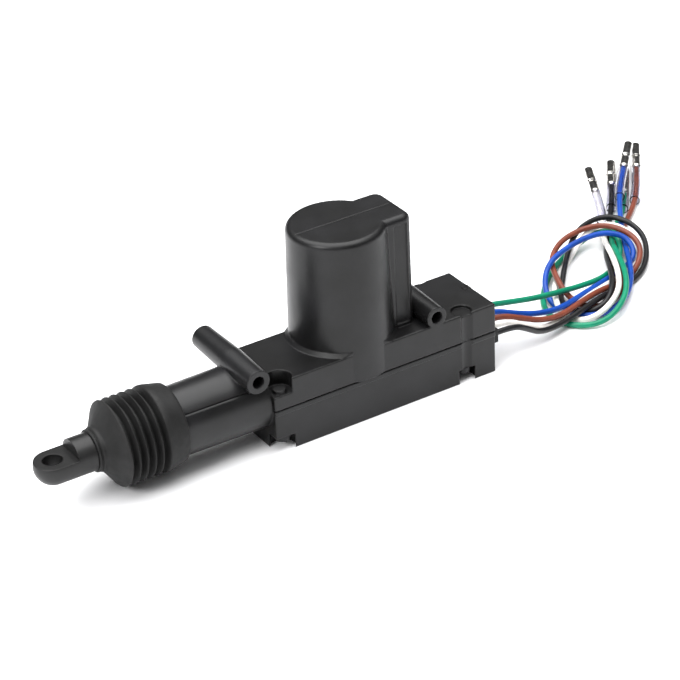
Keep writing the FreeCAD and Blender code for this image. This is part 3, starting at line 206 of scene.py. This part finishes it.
# name: colour, side of the comb, real length in metres, points after the straight start
WIRES = {
    "green": ((0.0, 0.21, 0.11), 6.5, 0.2746, [
        (107.5, 6.5, 10.5), (118.5, 7, 8), (130.5, 8, 6), (142, 10.5, 3.5), (153, 13.5, 1.5),
        (162, 17.5, 1.1), (168.5, 23, 2.5), (171.5, 28.5, 5.4), (170.5, 34.5, 5.8),
        (165, 37.5, 3.8), (156, 36, 1.2), (144, 30, 1.1), (133.5, 21, 1.1), (125.5, 11.5, 1.1),
        (122.5, 1.5, 1.1), (125.5, -6.5, 1.1), (132, -11, 1.5), (140, -10.5, 3), (149, -5, 5),
        (156.5, 5, 6.5), (163, 18, 6.1), (169.5, 30, 3.2), (178.5, 39.5, 2), (189, 47.5, 2),
        (197, 57.5, 2)]),
    "blue": ((0.003, 0.055, 0.34), 2.3, 0.2699, [
        (106, 0.5, 9.5), (115.5, -0.5, 6.5), (126, 1, 4.5), (138, 5.5, 3.5), (151, 10.5, 2),
        (162, 14.3, 1.1), (171.2, 17.9, 2.2), (172.3, 24, 6.7), (166.7, 28.6, 8.7), (158, 29.5, 9),
        (148, 28, 8.5), (138, 24.5, 7.5), (131, 18, 4.5), (128, 10, 1.5), (128.5, 2, 1.1),
        (133.5, -4.5, 1.1), (141, -6.5, 1.5), (149.5, -4, 2.5), (157.5, 3, 4), (164.5, 13, 4.4),
        (171.5, 24, 3), (179, 36, 3.5), (187, 47.5, 5.4), (195.5, 58, 6), (204.5, 67.5, 6.3)]),
    "brown": ((0.18, 0.042, 0.022), -1.9, 0.2779, [
        (105, -3.5, 10), (112.5, -5, 7), (121.5, -4.5, 5.5), (132.5, -1, 5.5), (144, 3, 4.5),
        (153.5, 6, 2), (161.5, 9, 1.2), (169, 13, 3), (174, 19, 5.5), (174, 27, 7.5),
        (169.5, 34, 8.5), (161.5, 37, 8), (151, 35.5, 7), (142, 29, 5.5), (137, 19, 4.5),
        (134.5, 9, 2.5), (136, 2, 1.1), (141.5, -2, 1.1), (147.5, -2, 2.5), (153, 2.5, 4),
        (157.5, 10, 4.5), (162.5, 19, 3.9), (168.5, 27.5, 1.5), (177, 34.5, 1.1), (186, 42, 1.2),
        (196, 50, 2), (205, 60, 2), (213.5, 71, 2)]),
    "white": ((0.82, 0.79, 0.75), -6.1, 0.2798, [
        (105, -6.5, 8.5), (112, -6, 4.5), (119.5, -4, 3.2), (128.5, -1, 4), (139, 3.5, 3.5),
        (150.5, 8, 2), (162.5, 12, 1.1), (172, 16, 1.1), (177, 23, 2.5), (177, 30, 5.5),
        (172.8, 35.5, 7.4), (165.5, 37.2, 6.7), (158, 34.5, 3.5), (150, 30, 1.1), (141, 24, 1.1),
        (133.5, 15.5, 2.5), (128, 7, 4), (126, 1.5, 2), (128, -3.5, 1.1), (132.5, -7, 1.5),
        (140, -7, 4), (148, -2.5, 6), (155, 7.5, 6.7), (161.5, 19.5, 5.8), (168, 32, 3.4),
        (176, 43.5, 2), (183, 53.5, 2), (189, 64, 2)]),
    "black": ((0.006, 0.006, 0.007), -10.3, 0.2865, [
        (104, -9.5, 9), (110, -8.5, 5), (119.5, -6.5, 3.5), (131, -3.5, 4), (142.5, 0.5, 3.5),
        (152.5, 3.5, 1.6), (161, 6, 1.1), (169, 10.5, 1.2), (176, 17.5, 2.5), (181, 26, 4),
        (181.5, 34.5, 5.5), (177.5, 41, 6.5), (170, 42.5, 6.5), (160.5, 39, 6), (151, 31, 4.5),
        (142, 21.5, 2.5), (135, 13.5, 1.1), (131, 7, 1.1), (132, 1, 1.1), (136, -3, 1.5),
        (142, -3.5, 3.5), (149, 2.5, 5.5), (156, 13, 4.5), (163.7, 25.5, 2), (172.5, 36, 1.1),
        (181, 45.5, 1.7), (189, 54.5, 2), (197, 65, 2)]),
}

for name, (colour, side, length, points) in WIRES.items():
    route = [(WIRE_START, side, WIRE_HEIGHT), (WIRE_STRAIGHT, side, WIRE_HEIGHT)] + points
    line = bpy.data.curves.new(f"cord_{name}", "CURVE")
    line.dimensions = "3D"
    line.bevel_depth = WIRE_DIAMETER / 2
    line.bevel_resolution = ROUND_STEPS
    line.resolution_u = BEND_STEPS
    line.use_fill_caps = True
    spline = line.splines.new("NURBS")
    spline.points.add(len(route) - 1)
    for point, place in zip(spline.points, route):
        point.co = (*at(*place), 1.0)
    spline.order_u = 3
    spline.use_endpoint_u = True
    line.materials.append(pvc(f"{name}_insulation", colour))
    wire = bpy.data.objects.new(f"cord_{name}", line)
    scene.collection.objects.link(wire)
    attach(wire, "housing")
    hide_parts(f"wire_{name}")


# Terminals and sleeves: turned brass bullets, nickel plated, crimped on the bare wire end.
# A soft clear tube is pushed over each crimp, so the wire's own colour shows through it.
def dress(name, material):
    """Give a piece of the frame its own finish."""
    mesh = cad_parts[name].data
    mesh.materials.clear()
    mesh.materials.append(material)


nickel, tree, shader, where = new_finish("bright_nickel", roughness=0.12, metal=1.0)
shade(tree, shader, grain(tree, where, 500.0), dark=(0.50, 0.48, 0.45), light=(0.78, 0.77, 0.75))
polish(tree, shader, grain(tree, where, 2600.0), low=0.08, high=0.22)
relief(tree, shader, grain(tree, where, 1500.0), strength=0.15, depth=0.00004, edge=0.00015)

clear, tree, shader, where = new_finish("clear_sleeve", roughness=0.12)
shade(tree, shader, grain(tree, where, 300.0), dark=(0.86, 0.86, 0.98), light=(0.95, 0.95, 1.0))
polish(tree, shader, grain(tree, where, 1200.0), low=0.06, high=0.2)
relief(tree, shader, grain(tree, where, 500.0), strength=0.2, depth=0.00008)
shader.inputs["Transmission Weight"].default_value = 1.0
shader.inputs["IOR"].default_value = 1.25
for name in WIRES:
    dress(f"terminal_{name}", nickel)
    dress(f"sleeve_{name}", clear)

# Housing: two injection mouldings in black ABS, an upper one with the motor tower and the
# cross bosses, and a cover under it. Their skin is finely spark-textured and faintly scuffed.
abs_black, tree, shader, where = new_finish("black_abs", roughness=0.4)
shade(tree, shader, grain(tree, where, 55.0, detail=6.0),
      dark=(0.006, 0.006, 0.006), light=(0.012, 0.012, 0.013))
shader.inputs["Specular IOR Level"].default_value = 0.3
polish(tree, shader, grain(tree, where, 170.0, detail=6.0), low=0.25, high=0.42)
relief(tree, shader, grain(tree, where, 4200.0, detail=2.0),
       strength=0.22, depth=0.00006, edge=0.0007)
for name in ("upper_housing", "lower_cover"):
    dress(name, abs_black)

# Wire comb and bumpers: soft black rubber. The comb is notched for the five wires, and the two
# mouldings squeeze it in the wires' exit. The bumpers stop the rod at the ends of its travel.
rubber, tree, shader, where = new_finish("black_rubber", roughness=0.7)
shade(tree, shader, grain(tree, where, 140.0, detail=5.0),
      dark=(0.005, 0.005, 0.005), light=(0.011, 0.011, 0.011))
shader.inputs["Specular IOR Level"].default_value = 0.3
polish(tree, shader, grain(tree, where, 400.0), low=0.5, high=0.75)
relief(tree, shader, grain(tree, where, 2500.0, detail=3.0),
       strength=0.3, depth=0.0001, edge=0.0003)
for name in ("wire_comb", "front_bumper", "rear_bumper"):
    dress(name, rubber)

# Rod: one moulding in black glass-filled nylon, with the eye in its flattened end. It comes
# smooth from the tool and is greased, so it has a soft sheen.
nylon, tree, shader, where = new_finish("black_nylon", roughness=0.3)
shade(tree, shader, grain(tree, where, 90.0, detail=5.0),
      dark=(0.006, 0.006, 0.006), light=(0.012, 0.012, 0.012))
shader.inputs["Specular IOR Level"].default_value = 0.32
polish(tree, shader, grain(tree, where, 240.0), low=0.32, high=0.46)
relief(tree, shader, grain(tree, where, 1300.0), strength=0.15, depth=0.00008, edge=0.0005)
dress("rack_rod", nylon)

# Boot: a thin moulded rubber bellows. Its front lip sits in the rod's groove, its rear collar
# grips the end of the guide tube, and the folds between them open as the rod goes out.
ROD_Z = 16.5
BOOT_TURNS = 96
LIP_RADIUS = 5.5
# outlines: pairs of a place along the rod and a radius
NECK = [(-52.3, LIP_RADIUS), (-52.3, 6.5), (-52.1, 6.85), (-51.7, 6.9), (-51.45, 6.6),
        (-51.3, 6.35), (-51.15, 6.6), (-50.9, 7.1), (-50.5, 7.25), (-50.1, 7.2), (-49.6, 7.7),
        (-48.4, 9.4), (-47.2, 11.2), (-46.3, 12.6), (-45.7, 13.5), (-45.3, 13.9)]
BEHIND_GROOVE = 8
FOLD_START = -45.0
FOLD_END = -31.7
FOLDS = 5
FOLD_STEPS = 16
CREST = 14.0
CREASE = 11.2
CREST_POWER = 0.75
SKIN = 0.9
COLLAR = [(-31.4, 14.1), (-30.6, 14.15), (-29.4, 13.9), (-27.5, 13.45), (-25.4, 13.0),
          (-24.7, 12.8), (-24.4, 12.5), (-24.4, 11.9)]
COLLAR_SEAT = [(-30.0, 12.0), (-29.8, 11.9)]


def fold_outline():
    """The folds' outer line, each crest narrower than its crease."""
    steps = FOLD_STEPS * FOLDS
    outline = []
    for i in range(steps + 1):
        turn = 2 * math.pi * FOLDS * i / steps
        sink = (0.5 - 0.5 * math.cos(turn)) ** CREST_POWER
        x = FOLD_START + (FOLD_END - FOLD_START) * i / steps
        outline.append((x, CREST - (CREST - CREASE) * sink))
    return outline


def turned_on_rod(name, outline):
    """A closed ring of faces, turned about the rod's axis."""
    count = len(outline)
    points = []
    for turn in range(BOOT_TURNS):
        angle = 2 * math.pi * turn / BOOT_TURNS
        for x, radius in outline:
            points.append(at(x, radius * math.cos(angle), ROD_Z + radius * math.sin(angle)))
    faces = []
    for turn in range(BOOT_TURNS):
        here = turn * count
        there = (turn + 1) % BOOT_TURNS * count
        for i in range(count):
            ahead = (i + 1) % count
            faces.append((here + i, here + ahead, there + ahead, there + i))
    mesh = bpy.data.meshes.new(name)
    mesh.from_pydata(points, [], faces)
    mesh.polygons.foreach_set("use_smooth", [True] * len(faces))
    item = bpy.data.objects.new(name, mesh)
    scene.collection.objects.link(item)
    return item


folds = fold_outline()
outside = NECK + folds + COLLAR
inside = [(x, max(radius - SKIN, LIP_RADIUS)) for x, radius in NECK[BEHIND_GROOVE:] + folds]
inside += COLLAR_SEAT
bellows = turned_on_rod("bellows", outside + inside[::-1])
bellows.data.materials.append(rubber)
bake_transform(bellows)
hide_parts("boot")


# Works: the motor's steel can with its magnets, copper coils and carbon brushes, moulded
# acetal gears on a steel pin, and a small switch board, all hidden inside the housing. Of the
# screws that hold its two halves together, the blackened heads show from below.
def works_finish(name, colour, roughness, metal):
    """A plain finish with slight mottling and a fine skin."""
    material, tree, shader, where = new_finish(name, roughness, metal)
    shade(tree, shader, grain(tree, where, 300.0), *tones(colour, spread=0.15))
    polish(tree, shader, grain(tree, where, 800.0), low=roughness * 0.8, high=roughness * 1.25)
    relief(tree, shader, grain(tree, where, 1800.0), strength=0.2, depth=0.00005)
    return material


# finish: colour, roughness, metal, pieces
WORKS = {
    "black_oxide": ((0.02, 0.02, 0.021), 0.42, 0.6, ("housing_screws",)),
    "zinc_steel": ((0.62, 0.62, 0.64), 0.32, 1.0,
                   ("motor_can", "gear_pin", "motor_shaft", "armature_core")),
    "tinned": ((0.75, 0.74, 0.72), 0.25, 1.0, ("motor_tabs",)),
    "bronze": ((0.55, 0.38, 0.20), 0.4, 1.0,
               ("lower_bearing", "upper_bearing", "motor_pinion", "switch_wiper")),
    "copper": ((0.72, 0.36, 0.22), 0.3, 1.0, ("armature_windings", "commutator", "contact_tracks")),
    "carbon": ((0.05, 0.05, 0.05), 0.6, 0.0, ("motor_brushes",)),
    "ferrite": ((0.07, 0.07, 0.075), 0.5, 0.3, ("motor_magnets",)),
    "acetal": ((0.78, 0.77, 0.70), 0.4, 0.0, ("motor_end_cap", "reduction_gear")),
    "phenolic": ((0.48, 0.33, 0.14), 0.5, 0.0, ("contact_board",)),
    "lead_insulation": ((0.02, 0.02, 0.02), 0.3, 0.0, ("motor_leads", "switch_leads")),
}
for name, (colour, roughness, metal, pieces) in WORKS.items():
    material = works_finish(name, colour, roughness, metal)
    for piece in pieces:
        dress(piece, material)
